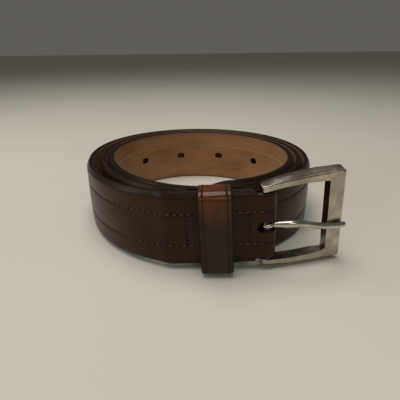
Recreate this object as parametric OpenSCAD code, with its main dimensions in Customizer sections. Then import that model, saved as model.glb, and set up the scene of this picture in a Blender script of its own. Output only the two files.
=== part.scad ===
// Coiled dress belt: a three-layer leather strap standing on its edge, with a fold that
// carries a cast buckle frame, its heel bar and prong, and a loose keeper loop.
// +X runs along the straight buckle end, -Y is the side the buckle faces, +Z is up.

/* [Strap] */
// Width of the strap
strap_w = 30; // [28:1:34]
// Thickness of the lining leather
lining_t = 0.8; // [0.6:0.1:1.0]
// Thickness of the filler board between the leathers
filler_t = 0.8; // [0.6:0.1:1.0]
// Thickness of the grain leather at the cut edge
grain_t = 1.35; // [1.2:0.05:1.5]
// Extra thickness in the middle of the padded centre panel
crown = 0.25; // [0:0.05:0.3]
// Half the distance between the two long stitch rows
row_z = 6.5; // [5:0.5:8]
// Length of the tapered tip
tip_len = 20; // [14:1:26]

/* [Coil] */
// Mean radius of the lining face on the first full turn
coil_r = 46.5; // [44:0.5:50]
// Growth of the radius in one turn
turn_step = 4.5; // [4.3:0.1:5.5]
// Sideways shift of the turns from the coil's middle
shift_x = 1.1; // [0:0.1:2]
// Shift of the turns towards the back
shift_y = 1.3; // [0:0.1:2]
// How much longer the coil is from front to back than from side to side
oval = 1.5; // [0:0.1:2]
// Lean of the oval to one diagonal
lean = 1.7; // [0:0.1:2]
// Height of the three shallow lobes
lobe = 0.7; // [0:0.1:1]
// Slack that stands the last turn off the others at the left
slack = 2.5; // [1:0.1:4]
// How far the turn behind the buckle end is pressed in
press_in = 2.1; // [2:0.1:2.5]
// Angle at which the tip ends
tip_angle = -99.5; // [-105:0.5:-95]
// Angle at which the last turn runs into the straight buckle end
join_angle = 984; // [982:1:986]
// Angle between two cross-sections of the coil
ring_step = 7.2; // [6:0.2:9]

/* [Prong holes] */
// Angle of the hole nearest the tip
first_hole = 14; // [10:1:20]
// Distance between two holes along the strap
hole_pitch = 25.4; // [24:0.1:26]
// Length of an oval hole along the strap
hole_l = 5; // [4:0.5:6]
// Height of an oval hole
hole_h = 3.5; // [3:0.5:4]

/* [Buckle end] */
// How far forward of the coil's middle the straight end's lining face lies
front_y = 61.5; // [61.3:0.1:62]
// Slope of the straight end, which rises to the right
end_tilt = 2.5; // [1:0.5:3]
// Height of the straight end's left edge above the floor
end_lift = 2.2; // [2.1:0.1:3]
// Distance of the heel bar from the start of the straight end
bar_x = 33.7; // [32:0.1:36]
// Half width of the strap where it wraps the heel bar
neck_z = 13.5; // [13:0.1:13.5]
// Distance of the left cross row from the start of the straight end
left_row_x = 3.4; // [3:0.1:3.6]
// Distance of the right cross row from the start of the straight end
right_row_x = 27; // [26.8:0.1:27.2]
// Width of the slot that the prong swings in
prong_slot = 4.2; // [4:0.1:4.6]

/* [Keeper] */
// Width of the keeper along the strap
keeper_w = 12; // [10:0.5:12.5]
// Distance of the keeper's middle from the start of the straight end
keeper_x = 14.5; // [14:0.1:15]
// Thickness of the keeper's grain leather
keeper_t = 0.9; // [0.8:0.1:1]
// Thickness of the keeper's lining
keeper_lining_t = 0.5; // [0.4:0.1:0.6]
// Gap between the keeper and the strap's face for the belt's tail
tail_gap = 4.4; // [4.2:0.1:5]
// Distance of each keeper seam from the keeper's edge
keeper_seam = 1.7; // [1.2:0.1:2.2]

/* [Buckle] */
// Distance of the front bar's outer edge from the heel bar
frame_len = 30.6; // [29:0.2:33]
// Width of the front bar
front_bar_w = 6.6; // [5:0.2:7]
// Half height of the frame near its front bar, where the arms are widest
frame_z = 19.55; // [19.3:0.05:19.55]
// Half height of the window at the middle of its bowed arms
window_z = 15; // [14.8:0.1:15.1]
// Radius that bows the arms' outer edges
arm_bow = 120; // [120:10:240]
// Depth of the arms from front to back
arm_d = 5; // [4:0.2:5.6]
// Radius of the heel bar
bar_r = 1.5; // [1.3:0.05:1.6]
// Angle that the frame is turned back from the strap's face at rest
frame_yaw = 16.5; // [12:0.5:18]
// Thickness of the prong's shank
prong_d = 3; // [2.6:0.1:3.2]
// How far the prong's tip droops below the middle of the front bar
prong_droop = 3.7; // [0:0.1:4]

/* [Hidden] */

// Puts the origin under the middle of the belt's outline box.
origin_x = -0.42;
origin_y = 4.46;

// Thickness stack, counted outwards from the lining's free face.
filler_0 = lining_t;
grain_0 = lining_t + filler_t;
grain_1 = grain_0 + grain_t;
groove_t = grain_1 - 0.15;
thread_w = 0.6;
thread_t = 0.35;
edge_cut = 0.55;
half_w = strap_w / 2;

// The fold that wraps the heel bar.
loop_clear = 0.3;
loop_r = bar_r + loop_clear;
bar_y = -front_y - grain_0 + loop_r;
path_r = loop_r - grain_0;
return_y = bar_y + path_r;
neck_x = bar_x - 4.1;
lining_end_x = neck_x - 0.4;
ramp = 2 * end_lift / tan(end_tilt);
blend_angle = 8;
near_step = 3;

// The keeper's inner opening.
keeper_clear = 0.3;
keeper_back = -front_y + keeper_clear;
keeper_front = -front_y - grain_1 - crown - tail_gap;
keeper_half_z = half_w + keeper_clear;
keeper_bend = 0.5;
return_hump = keeper_back + keeper_t + keeper_lining_t + 0.65;

leather = [0.24, 0.13, 0.08];
edge_leather = [0.20, 0.12, 0.09];
tan_leather = [0.55, 0.40, 0.26];
thread_brown = [0.42, 0.27, 0.16];
thread_tan = [0.68, 0.55, 0.40];
nickel = [0.66, 0.63, 0.56];
steel = [0.75, 0.74, 0.71];

function smooth(a) = a * a * (3 - 2 * a);
function clamp01(a) = min(1, max(0, a));
function window(phi, middle, reach) = pow(cos(90 * min(1, abs(phi - middle) / reach)), 2);

// Radius of the lining's free face around the coil. phi counts on over every turn.
function lining_r(phi) =
    let (turn = (phi - 90) / 360)
    coil_r + turn_step * turn
    + shift_x * cos(phi) + shift_y * sin(phi)
    - oval * cos(2 * phi) - lean * sin(2 * phi) + lobe * sin(3 * phi)
    - turn * (0.4 * sin(phi) + 0.75 * cos(2 * phi))
    + slack * window(phi, 912, 110)
    - press_in * window(phi, 632, 80);

function spiral(phi) = lining_r(phi) * [cos(phi), sin(phi)];

// The coil's own curve, eased onto the straight buckle end over its last stretch.
function coil_xy(phi) =
    let (
        p = spiral(phi),
        ease = smooth(clamp01((phi - join_angle + blend_angle) / blend_angle))
    )
    [p[0], p[1] + ease * (-front_y - p[1])];

join_x = coil_xy(join_angle)[0];
mean_r = norm(coil_xy(join_angle));
middle_z = half_w + end_lift;

function coil_heading(phi) =
    let (d = coil_xy(min(phi + 0.5, join_angle)) - coil_xy(phi - 0.5)) atan2(d[1], d[0]);
function to_join(phi) = (join_angle - phi) * PI / 180 * mean_r;
function climb(phi) = clamp01(1 - to_join(phi) / ramp);

// Half width of the strap at a given distance from the tip's end.
function tip_half(s) = half_w * pow(1 - pow(1 - clamp01(s / tip_len), 1.6), 0.625);
function from_tip(phi) = (phi - tip_angle) * PI / 180 * lining_r(phi);

// A station is [origin, outward direction, width direction, half width].
function coil_station(phi) =
    let (
        p = coil_xy(phi),
        heading = phi == join_angle ? 0 : coil_heading(phi),
        tilt = atan(tan(end_tilt) * climb(phi)),
        z = half_w + end_lift * pow(climb(phi), 2)
    )
    [
        [p[0], p[1], z],
        [sin(heading), -cos(heading), 0],
        [-sin(tilt) * cos(heading), -sin(tilt) * sin(heading), cos(tilt)],
        max(1.2, tip_half(from_tip(phi)))
    ];

// Maps a point of the straight end's own frame into the belt's frame.
function end_point(p) = [
    join_x + p[0] * cos(end_tilt) - p[2] * sin(end_tilt),
    p[1],
    middle_z + p[0] * sin(end_tilt) + p[2] * cos(end_tilt)
];
function end_turned(d) = [d[0] * cos(end_tilt) - d[2] * sin(end_tilt), d[1],
    d[0] * sin(end_tilt) + d[2] * cos(end_tilt)];
function end_station(x, y, heading, half) = [
    end_point([x, y, 0]),
    end_turned([sin(heading), -cos(heading), 0]),
    end_turned([0, 0, 1]),
    half
];

tip_phi = [for (k = [0:6]) tip_angle + 180 / PI * tip_len * (1 - cos(15 * k)) / 46];
coil_phi = concat(
    tip_phi,
    [for (phi = [tip_phi[6] + ring_step:ring_step:join_angle - 30]) phi],
    [for (k = [8:-1:0]) join_angle - near_step * k]
);
coil_stations = [for (phi = coil_phi) coil_station(phi)];
front_stations = [
    end_station(neck_x - 0.5, -front_y, 0, half_w),
    end_station(neck_x, -front_y, 0, neck_z)
];
loop_stations = [for (turn = [0:20:180])
    end_station(bar_x + path_r * sin(turn), bar_y - path_r * cos(turn), turn, neck_z)];

// The turned-back leather lies on the lining at both cross rows and humps over the keeper.
lie_clear = 0.03;
return_flat = -front_y - grain_0 + lie_clear;
hump_0 = left_row_x + 1.1;
hump_1 = right_row_x - 1.3;
return_path = [
    [neck_x, return_y, neck_z],
    [neck_x - 0.5, return_y - 0.4, half_w - 0.3],
    [right_row_x + 1.2, return_flat, half_w - 0.3],
    [hump_1, return_flat, half_w - 0.3],
    [hump_1 - 1.3, return_hump - grain_0, half_w - 0.3],
    [hump_0 + 1.3, return_hump - grain_0, half_w - 0.3],
    [hump_0, return_flat, half_w - 0.3]
];

// Past the straight end it follows the lining's curve for two cross-sections.
function lying_station(phi) =
    let (s = coil_station(phi))
    [s[0] + (grain_0 - lie_clear) * s[1], -s[1], s[2], half_w - 0.3];
return_stations = concat(
    [for (p = return_path) end_station(p[0], p[1], 180, p[2])],
    [for (k = [0:2]) lying_station(join_angle - near_step * k)]
);
lining_stations = concat(coil_stations, [end_station(lining_end_x, -front_y, 0, half_w)]);

function place(station, p) =
    station[0] + p[0] * station[1] + p[1] * station[3] / half_w * station[2];

// Sweeps a closed section of [thickness, width] points through the stations.
module sweep(stations, section) {
    n = len(section);
    last = len(stations) - 1;
    points = [for (s = stations) each [for (p = section) place(s, p)]];
    sides = [for (k = [0:last - 1]) each [for (i = [0:n - 1]) each
        let (
            j = (i + 1) % n,
            a = k * n + i,
            b = k * n + j,
            rising = section[j][1] >= section[i][1]
        )
        rising ? [[a, b, b + n], [a, b + n, a + n]] : [[a, b, a + n], [b, b + n, a + n]]
    ]];
    ends = [[for (i = [n - 1:-1:0]) i], [for (i = [0:n - 1]) last * n + i]];
    polyhedron(points = points, faces = concat(sides, ends), convexity = 12);
}

function rectangle(t0, t1, w0, w1) = [[t0, w0], [t1, w0], [t1, w1], [t0, w1]];

function grain_side() = [
    [grain_1 - 0.4, half_w],
    [grain_1, half_w - edge_cut],
    [grain_1, row_z + 0.6],
    [groove_t, row_z + 0.4],
    [groove_t, row_z - 0.4],
    [grain_1 + 0.05, row_z - 0.6]
];
function grain_section() = concat(
    [[grain_0, -half_w]],
    [for (p = grain_side()) [p[0], -p[1]]],
    [[grain_1 + crown, 0]],
    [for (i = [5:-1:0]) grain_side()[i]],
    [[grain_0, half_w]]
);

module end_frame() translate([join_x, 0, middle_z]) rotate([0, -end_tilt, 0]) children();

// A flat oval punch through the strap, along -Y of the straight end's frame or outwards.
module oval_punch(length, height, depth) {
    rotate([90, 0, 0]) linear_extrude(depth, center = true) {
        square([length - height, height], center = true);
        for (side = [-1, 1]) translate([side * (length - height) / 2, 0])
            circle(d = height, $fn = 32);
    }
}

function hole_phi(k) = k == 0
    ? first_hole
    : let (last = hole_phi(k - 1)) last + hole_pitch * 180 / PI / lining_r(last + 15);

module prong_holes() {
    for (k = [0:4]) {
        phi = hole_phi(k);
        p = coil_xy(phi);
        translate([p[0], p[1], half_w]) rotate([0, 0, coil_heading(phi)])
            oval_punch(hole_l, hole_h, 8);
    }
}

module fold_slot() {
    end_frame() translate([neck_x + 10, bar_y, 0]) oval_punch(20, prong_slot, 12);
}

module strap_grain() {
    color(leather) difference() {
        sweep(concat(coil_stations, front_stations, loop_stations, return_stations),
            grain_section());
        prong_holes();
        fold_slot();
    }
}

module strap_filler() {
    color(edge_leather) difference() {
        sweep(lining_stations, rectangle(filler_0, grain_0, -half_w, half_w));
        prong_holes();
    }
}

module strap_lining() {
    color(tan_leather) difference() {
        sweep(lining_stations, rectangle(0, lining_t, -half_w, half_w));
        prong_holes();
    }
}

// Long seams. The needle thread lies in the grain's groove, the bobbin thread on the lining.
seam_stations = concat(
    [for (k = [2:len(coil_stations) - 1]) coil_stations[k]],
    [end_station(neck_x - 1.2, -front_y, 0, half_w)]
);

module needle_thread(side) {
    color(thread_brown) sweep(seam_stations, rectangle(groove_t, groove_t + thread_t,
        side * row_z - thread_w / 2, side * row_z + thread_w / 2));
}

module bobbin_thread(side) {
    last = len(coil_stations) - 1;
    color(thread_tan) sweep([for (k = [2:last - 3]) coil_stations[k]],
        rectangle(-thread_t / 2, 0, side * row_z - thread_w / 2, side * row_z + thread_w / 2));
}

module upper_seam_needle_thread() needle_thread(1);
module upper_seam_bobbin_thread() bobbin_thread(1);
module lower_seam_needle_thread() needle_thread(-1);
module lower_seam_bobbin_thread() bobbin_thread(-1);

// Cross seams tie the turned-back leather to the strap on both sides of the keeper.
cross_half = row_z - 0.7;

function crowned_band(t) = [
    [grain_1 + crown_edge(), -cross_half],
    [grain_1 + crown_edge() + t, -cross_half],
    [grain_1 + crown + t, 0],
    [grain_1 + crown_edge() + t, cross_half],
    [grain_1 + crown_edge(), cross_half],
    [grain_1 + crown, 0]
];
function crown_edge() = 0.05 + (crown - 0.05) * (1 - cross_half / (row_z - 0.6));

module cross_thread(x, y, heading, half) {
    sweep([
        end_station(x - thread_w / 2 * cos(heading), y, heading, half),
        end_station(x + thread_w / 2 * cos(heading), y, heading, half)
    ], crowned_band(thread_t));
}

module left_cross_seam_needle_thread()
    color(thread_brown) cross_thread(left_row_x, -front_y, 0, half_w);
module left_cross_seam_bobbin_thread()
    color(thread_brown) cross_thread(left_row_x, return_flat, 180, half_w - 0.3);
module right_cross_seam_needle_thread()
    color(thread_brown) cross_thread(right_row_x, -front_y, 0, half_w);
module right_cross_seam_bobbin_thread()
    color(thread_brown) cross_thread(right_row_x, return_flat, 180, half_w - 0.3);

// Keeper: a two-ply loop around the strap, butted at the back and held by a staple.
module rounded_rect(y0, y1, half_z, r) {
    for (z = [-1, 1]) {
        translate([y0 + r, z * (half_z - r)]) circle(r, $fn = 32);
        translate([y1 - r, z * (half_z - r)]) circle(r, $fn = 32);
    }
    translate([y0 + r, -half_z]) square([y1 - y0 - 2 * r, 2 * half_z]);
    translate([y0, r - half_z]) square([y1 - y0, 2 * (half_z - r)]);
}

// A band of the keeper between two distances outside its inner opening.
module keeper_ring(t0, t1, width) {
    end_frame() rotate([90, 0, 90]) linear_extrude(width, center = true) difference() {
        rounded_rect(keeper_front - t1, keeper_back + t1, keeper_half_z + t1, keeper_bend + t1);
        rounded_rect(keeper_front - t0, keeper_back + t0, keeper_half_z + t0, keeper_bend + t0);
    }
}

module at_keeper() translate([keeper_x * cos(end_tilt), 0, keeper_x * sin(end_tilt)]) children();
module at_seam(side) {
    offset_x = side * (keeper_w / 2 - keeper_seam);
    translate([offset_x * cos(end_tilt), 0, offset_x * sin(end_tilt)]) children();
}

keeper_all = keeper_t + keeper_lining_t;
keeper_thread_t = 0.25;
staple_w = 0.8;
staple_t = 0.25;
staple_span = 7;

module keeper_butt() {
    end_frame() translate([keeper_x, keeper_back + keeper_all / 2, 0])
        cube([keeper_w + 1, keeper_all + 1, 0.3], center = true);
}

module staple_legs() {
    end_frame() for (side = [-1, 1])
        translate([keeper_x, keeper_back + keeper_all / 2 + 0.1, side * (staple_span - staple_t) / 2])
            cube([staple_w, keeper_all - 0.2, staple_t], center = true);
}

module keeper_grain() {
    color([0.30, 0.15, 0.06]) difference() {
        at_keeper() keeper_ring(keeper_lining_t, keeper_all, keeper_w);
        for (side = [-1, 1]) at_keeper() at_seam(side)
            keeper_ring(keeper_all - keeper_thread_t, keeper_all + 1, thread_w);
        keeper_butt();
        staple_legs();
    }
}

module keeper_lining() {
    color(edge_leather) difference() {
        at_keeper() keeper_ring(0, keeper_lining_t, keeper_w);
        for (side = [-1, 1]) at_keeper() at_seam(side)
            keeper_ring(-0.2, keeper_thread_t, thread_w);
        keeper_butt();
        staple_legs();
    }
}

module keeper_thread(side, t0) {
    color(thread_brown) difference() {
        at_keeper() at_seam(side) keeper_ring(t0, t0 + keeper_thread_t, thread_w);
        keeper_butt();
    }
}

module keeper_left_needle_thread() keeper_thread(-1, keeper_all - keeper_thread_t);
module keeper_left_bobbin_thread() keeper_thread(-1, 0);
module keeper_right_needle_thread() keeper_thread(1, keeper_all - keeper_thread_t);
module keeper_right_bobbin_thread() keeper_thread(1, 0);

module keeper_staple() {
    color(steel) union() {
        staple_legs();
        end_frame() translate([keeper_x, keeper_back + keeper_all + staple_t / 2, 0])
            cube([staple_w, staple_t, staple_span], center = true);
    }
}

// Buckle parts, in a frame whose Z runs along the heel bar and whose -Y faces forward.
module buckle_frame_at() {
    end_frame() translate([bar_x, bar_y, 0]) rotate([0, 0, frame_yaw]) children();
}

heel_back = 2.9;
arm_x = 24.8;
bow_x = 14;
window_bow = 110;
corner_r = 2.6;
corner_drop = pow(frame_len - corner_r - arm_x, 2) / (2 * arm_bow);
front_face = -2.5;
bar_back = 1.4;
bar_hole_z = 16.3;

module frame_outline() {
    intersection() {
        translate([arm_x, arm_bow - frame_z]) circle(arm_bow, $fn = 64);
        translate([arm_x, frame_z - arm_bow]) circle(arm_bow, $fn = 64);
        union() {
            translate([-heel_back, -20]) square([frame_len + heel_back - corner_r, 40]);
            for (side = [-1, 1]) translate([frame_len - corner_r, side * (frame_z - corner_drop - corner_r)])
                circle(corner_r, $fn = 32);
            translate([frame_len - corner_r, corner_r + corner_drop - frame_z])
                square([corner_r, 2 * (frame_z - corner_drop - corner_r)]);
        }
    }
}

module window_outline() {
    intersection() {
        translate([bow_x, window_bow - window_z]) circle(window_bow, $fn = 64);
        translate([bow_x, window_z - window_bow]) circle(window_bow, $fn = 64);
        translate([-heel_back - 1, -16]) square([frame_len + heel_back + 1 - front_bar_w, 32]);
    }
}

// Side profile: deep arms with a round heel, thinning to the front bar.
module frame_profile() {
    back = front_face + arm_d;
    circle(heel_back, $fn = 48);
    polygon([
        [0, front_face - 0.4],
        [frame_len - 1, front_face],
        [frame_len, front_face + 0.9],
        [frame_len, bar_back],
        [frame_len - front_bar_w, bar_back],
        [frame_len - front_bar_w - 2.5, back],
        [0, back + 0.4]
    ]);
}

// End profile: the outer sides flare from a front ridge to a crest near the back.
ridge_drop = 1.1;
crest_y = 0.8;
bevel_top = [
    [-4, frame_z - ridge_drop - 1.8],
    [front_face, frame_z - ridge_drop - 0.9],
    [front_face + 0.8, frame_z - ridge_drop],
    [crest_y, frame_z],
    [4, frame_z - 0.9]
];

module frame_bevels() {
    polygon(concat(
        bevel_top,
        [for (i = [len(bevel_top) - 1:-1:0]) [bevel_top[i][0], -bevel_top[i][1]]]
    ));
}

module buckle_frame() {
    color(nickel) buckle_frame_at() difference() {
        intersection() {
            rotate([90, 0, 0]) linear_extrude(12, center = true) difference() {
                frame_outline();
                window_outline();
            }
            linear_extrude(60, center = true) frame_profile();
            rotate([90, 0, 90]) linear_extrude(100, center = true) frame_bevels();
        }
        cylinder(r = bar_r, h = 2 * bar_hole_z, center = true, $fn = 48);
    }
}

module heel_bar() {
    color(steel) buckle_frame_at() cylinder(r = bar_r, h = 2 * bar_hole_z, center = true, $fn = 48);
}

// Prong: a ring on the heel bar and a shank that arches forward and rests on the front bar.
ring_clear = 0.06;
ring_r = bar_r + ring_clear + 1.2;
ring_h = 3.1;
prong_rest = front_face - prong_d / 2 - 0.03;

function shank_y(x) = x < 9
    ? -1.2 - (3.3 - 0.1 * (9 - x)) * smooth(clamp01(x / 9))
    : prong_rest - (4.5 + prong_rest) * (1 - smooth(clamp01((x - 9) / 15)));
shank_x = [for (k = [0:12]) 1.9 + k * (frame_len + 0.9 - 1.9) / 12];
function shank_r(x) = prong_d / 2 * (1 - 0.22 * clamp01((x - 6) / 24));

module shank() {
    n = 12;
    last = len(shank_x) - 1;
    points = [for (k = [0:last]) each
        let (
            x = shank_x[k],
            slope = atan((shank_y(x + 0.1) - shank_y(x - 0.1)) / 0.2),
            r = shank_r(x) * (k == last ? 0.55 : 1)
        )
        [for (i = [0:n - 1]) [
            x - r * cos(30 * i) * sin(slope),
            shank_y(x) + r * cos(30 * i) * cos(slope),
            -prong_droop * smooth(clamp01((x - 8) / 18)) + r * sin(30 * i)
        ]]];
    sides = [for (k = [0:last - 1]) each [for (i = [0:n - 1]) each
        let (a = k * n + i, b = k * n + (i + 1) % n)
        [[a, a + n, b + n], [a, b + n, b]]
    ]];
    ends = [[for (i = [0:n - 1]) i], [for (i = [n - 1:-1:0]) last * n + i]];
    polyhedron(points = points, faces = concat(sides, ends), convexity = 4);
}

module prong() {
    color(steel) buckle_frame_at() difference() {
        union() {
            cylinder(r = ring_r, h = ring_h, center = true, $fn = 48);
            shank();
        }
        cylinder(r = bar_r + ring_clear, h = 2 * ring_h, center = true, $fn = 48);
    }
}

module placed() translate([origin_x, origin_y, 0]) children();

placed() strap_grain();
placed() strap_filler();
placed() strap_lining();
placed() upper_seam_needle_thread();
placed() upper_seam_bobbin_thread();
placed() lower_seam_needle_thread();
placed() lower_seam_bobbin_thread();
placed() left_cross_seam_needle_thread();
placed() left_cross_seam_bobbin_thread();
placed() right_cross_seam_needle_thread();
placed() right_cross_seam_bobbin_thread();
placed() keeper_grain();
placed() keeper_lining();
placed() keeper_left_needle_thread();
placed() keeper_left_bobbin_thread();
placed() keeper_right_needle_thread();
placed() keeper_right_bobbin_thread();
placed() keeper_staple();
placed() buckle_frame();
placed() heel_bar();
placed() prong();
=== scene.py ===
import math

import bmesh
import bpy
import numpy as np
from mathutils import Matrix, Vector


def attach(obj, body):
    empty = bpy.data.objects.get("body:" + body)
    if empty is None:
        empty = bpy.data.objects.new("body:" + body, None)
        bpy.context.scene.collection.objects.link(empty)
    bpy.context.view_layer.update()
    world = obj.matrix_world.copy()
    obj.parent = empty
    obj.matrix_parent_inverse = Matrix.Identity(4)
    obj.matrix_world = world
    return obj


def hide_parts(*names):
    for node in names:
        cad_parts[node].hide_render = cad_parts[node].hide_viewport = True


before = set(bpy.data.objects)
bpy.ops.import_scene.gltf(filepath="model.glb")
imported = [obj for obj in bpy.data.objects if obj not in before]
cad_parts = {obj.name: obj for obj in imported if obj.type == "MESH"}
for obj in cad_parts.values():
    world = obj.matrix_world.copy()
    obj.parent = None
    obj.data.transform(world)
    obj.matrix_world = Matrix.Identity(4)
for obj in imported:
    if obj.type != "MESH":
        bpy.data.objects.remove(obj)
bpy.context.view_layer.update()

# A coiled dress belt. The strap's curve repeats the CAD source's formula. Lengths are in
# millimetres and angles in degrees until a mesh is made, which is in metres. ORIGIN is where the
# CAD source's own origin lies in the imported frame.
scene = bpy.context.scene
MM = 0.001
ORIGIN = np.array([-0.42, 4.46, 0.0])

# Strap.
HALF_W = 15.0
LINING_T, FILLER_T, GRAIN_T = 0.8, 0.8, 1.35
GRAIN_0 = LINING_T + FILLER_T
GRAIN_1 = GRAIN_0 + GRAIN_T
CROWN = 0.25
ROW_Z = 6.5
CREASE_Z = 12.85
SINK = 0.03
COIL_R, COIL_GROWTH = 46.5, 4.5
TIP_LEN, TIP_SHAPE, TIP_HALF_W = 20.0, 1.6, 0.9
TIP_ANGLE, JOIN_ANGLE = -99.5, 984.0
BLEND_ANGLE = 8.0
COIL_STEP, LINE_STEP, TURN_STEP = 0.5, 0.25, 5.0
STITCH, THREAD_END = 2.65, 0.42
FIRST_HOLE, HOLE_PITCH, HOLE_L, HOLE_H = 14.0, 25.4, 5.0, 3.5
PATCH_W, PATCH_MARGIN = 3.2, 1.4

# Relief of the leather: depths, and widths of the bells that make them.
GROOVE_D, GROOVE_W = 0.15, 0.32
NEEDLE_D, NEEDLE_W, NEEDLE_L = 0.22, 0.34, 0.42
CREASE_D, CREASE_W = 0.13, 0.17
EDGE_DROP = 1.0

# Buckle end.
FRONT_Y = 61.5
END_TILT, END_LIFT = 2.5, 2.2
BAR_X, BAR_R, LOOP_CLEAR = 33.7, 1.5, 0.3
NECK_X, NECK_Z, NECK_EASE = BAR_X - 4.1, 13.5, 0.7
SHOULDER_Z = 13.1
LOOP_R = BAR_R + LOOP_CLEAR
BAR_Y = -FRONT_Y - GRAIN_0 + LOOP_R
PATH_R = LOOP_R - GRAIN_0
LEFT_ROW_X, RIGHT_ROW_X = 3.4, 27.0
SLOT_H = 4.2
RETURN_FLAT = -FRONT_Y - GRAIN_0 + SINK
RETURN_ANGLE, RETURN_INSET = 6.0, 0.3
HUMP_FROM, HUMP_TO, HUMP_EASE, RISE_FROM = 4.2, 26.2, 1.9, 28.2

# Keeper.
KEEPER_W, KEEPER_X = 12.0, 14.5
KEEPER_T, KEEPER_LINING_T = 0.9, 0.5
KEEPER_CLEAR, TAIL_GAP = 0.3, 4.4
KEEPER_SEAM_X, KEEPER_CREASE_X = KEEPER_W / 2 - 1.7, 5.25
KEEPER_BACK = -FRONT_Y + KEEPER_CLEAR
KEEPER_FRONT = -FRONT_Y - GRAIN_1 - CROWN - TAIL_GAP
KEEPER_HALF_Z = HALF_W + KEEPER_CLEAR
RETURN_HUMP = KEEPER_BACK + KEEPER_T + KEEPER_LINING_T + 0.65 - GRAIN_0

# Buckle frame and prong, in the frame whose Z runs along the heel bar.
FRAME_YAW = 16.5
FRAME_LEN, FRONT_BAR_W = 30.6, 6.6
FRAME_Z, WINDOW_Z, ARM_BOW, WINDOW_BOW = 19.55, 15.0, 120.0, 110.0
ARM_X, BOW_X = 24.8, 14.0
HEEL_R, FRONT_FACE, BAR_BACK, ARM_D = 2.9, -2.5, 1.4, 5.0
CORNER_R, HEEL_CORNER, RIDGE_DROP, CREST_Y = 1.8, 1.6, 1.1, 0.8
PRONG_D, PRONG_DROOP = 3.0, 3.7


# Maths.
def sind(a):
    return np.sin(np.radians(a))


def cosd(a):
    return np.cos(np.radians(a))


def unit(v):
    return v / np.linalg.norm(v, axis=-1, keepdims=True)


def smooth(a):
    a = np.clip(a, 0, 1)
    return a * a * (3 - 2 * a)


def bump(a, middle, width):
    """A bell of height 1 at middle."""
    return np.exp(-(((a - middle) / width) ** 2))


def window(phi, middle, reach):
    """A hill of height 1 at middle, which falls to 0 at reach on both sides."""
    return cosd(90 * np.minimum(1, np.abs(phi - middle) / reach)) ** 2


def lining_r(phi):
    """Radius of the lining's face: a spiral, its oval and dented outline, and two bulges."""
    turn = (phi - 90) / 360
    return (
        COIL_R + COIL_GROWTH * turn
        + 1.1 * cosd(phi) + 1.3 * sind(phi)
        - 1.5 * cosd(2 * phi) - 1.7 * sind(2 * phi) + 0.7 * sind(3 * phi)
        - turn * (0.4 * sind(phi) + 0.75 * cosd(2 * phi))
        + 2.5 * window(phi, 912, 110)
        - 2.1 * window(phi, 632, 80)
    )


def coil_xy(phi):
    r = lining_r(phi)
    x, y = r * cosd(phi), r * sind(phi)
    ease = smooth((phi - JOIN_ANGLE + BLEND_ANGLE) / BLEND_ANGLE)
    return x, y + ease * (-FRONT_Y - y)


JOIN_X = float(coil_xy(np.array([JOIN_ANGLE]))[0][0])
MEAN_R = float(np.hypot(*coil_xy(np.array([JOIN_ANGLE]))[:2])[0])
MIDDLE_Z = HALF_W + END_LIFT
RAMP = 2 * END_LIFT / math.tan(math.radians(END_TILT))


def end_turned(v):
    """Turns directions of the straight end's frame into the belt's frame."""
    v = np.asarray(v, float)
    c, s = cosd(END_TILT), sind(END_TILT)
    return np.stack([v[..., 0] * c - v[..., 2] * s, v[..., 1], v[..., 0] * s + v[..., 2] * c], -1)


def end_point(p):
    return end_turned(p) + np.array([JOIN_X, 0, MIDDLE_Z])


def coil_rows(phi):
    """Origin, outward and width directions and half width of stations on the coil."""
    x, y = coil_xy(phi)
    x1, y1 = coil_xy(np.minimum(phi + COIL_STEP, JOIN_ANGLE))
    x0, y0 = coil_xy(phi - COIL_STEP)
    heading = np.degrees(np.arctan2(y1 - y0, x1 - x0))
    climb = np.clip(1 - (JOIN_ANGLE - phi) * math.pi / 180 * MEAN_R / RAMP, 0, 1)
    tilt = np.degrees(np.arctan(math.tan(math.radians(END_TILT)) * climb))
    origin = np.stack([x, y, HALF_W + END_LIFT * climb**2], 1)
    out = np.stack([sind(heading), -cosd(heading), 0 * x], 1)
    wide = np.stack([-sind(tilt) * cosd(heading), -sind(tilt) * sind(heading), cosd(tilt)], 1)
    from_tip = (phi - TIP_ANGLE) * math.pi / 180 * lining_r(phi)
    taper = (1 - (1 - np.clip(from_tip / TIP_LEN, 0, 1)) ** TIP_SHAPE) ** (1 / TIP_SHAPE)
    return origin, out, wide, np.maximum(HALF_W * taper, TIP_HALF_W)


def end_rows(x, y, heading, half):
    """The same four for stations of the straight end, in its own frame."""
    x, y, heading = np.atleast_1d(x), np.atleast_1d(y), np.atleast_1d(heading)
    flat = np.zeros(len(x))
    origin = end_point(np.stack([x, y, flat], 1))
    out = end_turned(np.stack([sind(heading), -cosd(heading), flat], 1))
    wide = end_turned(np.stack([flat, flat, flat + 1], 1))
    return origin, out, wide, flat + half


def return_y(x):
    """How far back the turned-back leather lies: flat at both cross rows, humped at the keeper."""
    hump = smooth((HUMP_TO - x) / HUMP_EASE) * smooth((x - HUMP_FROM) / HUMP_EASE)
    rise = smooth((x - RISE_FROM) / (BAR_X - RISE_FROM))
    y = RETURN_FLAT + (RETURN_HUMP - RETURN_FLAT) * hump
    return y + (BAR_Y + PATH_R - RETURN_FLAT) * rise


def neck_half(x):
    return HALF_W + (NECK_Z - HALF_W) * smooth((x - NECK_X + NECK_EASE) / NECK_EASE)


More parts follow.
